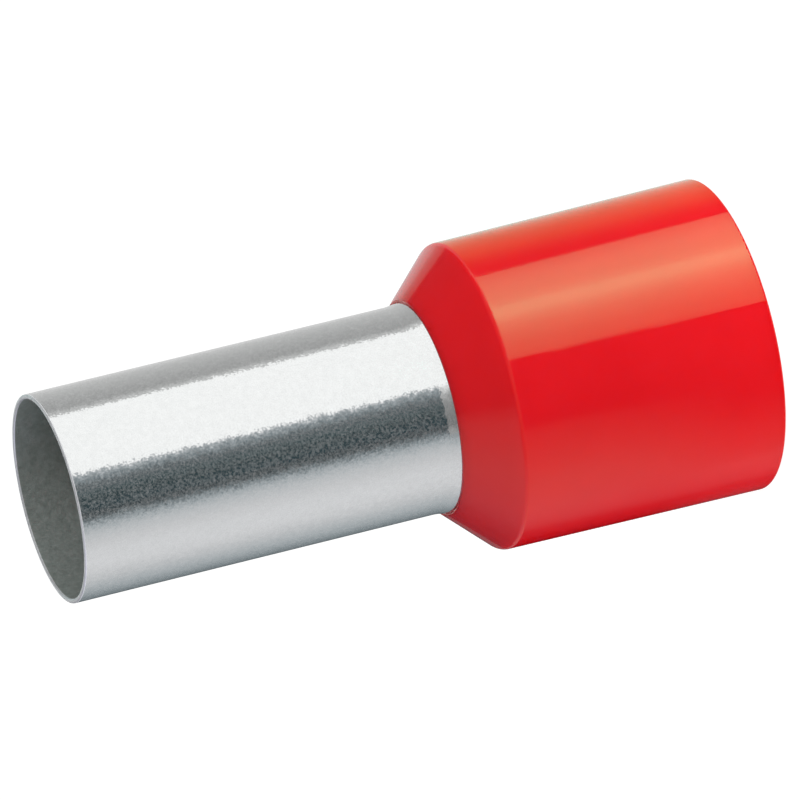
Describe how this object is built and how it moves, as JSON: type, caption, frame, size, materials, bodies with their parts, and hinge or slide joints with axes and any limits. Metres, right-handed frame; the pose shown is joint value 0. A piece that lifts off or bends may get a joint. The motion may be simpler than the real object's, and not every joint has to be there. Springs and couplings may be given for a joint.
{
  "type": "insulated wire ferrule",
  "caption": "Insulated wire-end ferrule: a thin tinned copper sleeve seated in a glossy red plastic collar that flares to take the wire's insulation.",
  "frame": {"origin": "centre of the collar's open rim, which is the plane that the ferrule stands on", "axes": "+Z along the ferrule's axis, from the collar's open rim to the sleeve's tip; the ferrule is a body of revolution, so X and Y are free"},
  "size_m": [0.0132, 0.0132, 0.03],
  "materials": {
    "tinned_copper": "bright tin plating with a fine matt grain",
    "red_collar": "glossy moulded polypropylene"
  },
  "bodies": {
    "root": {"metal_sleeve": "tinned_copper", "plastic_collar": "red_collar"}
  },
  "joints": []
}
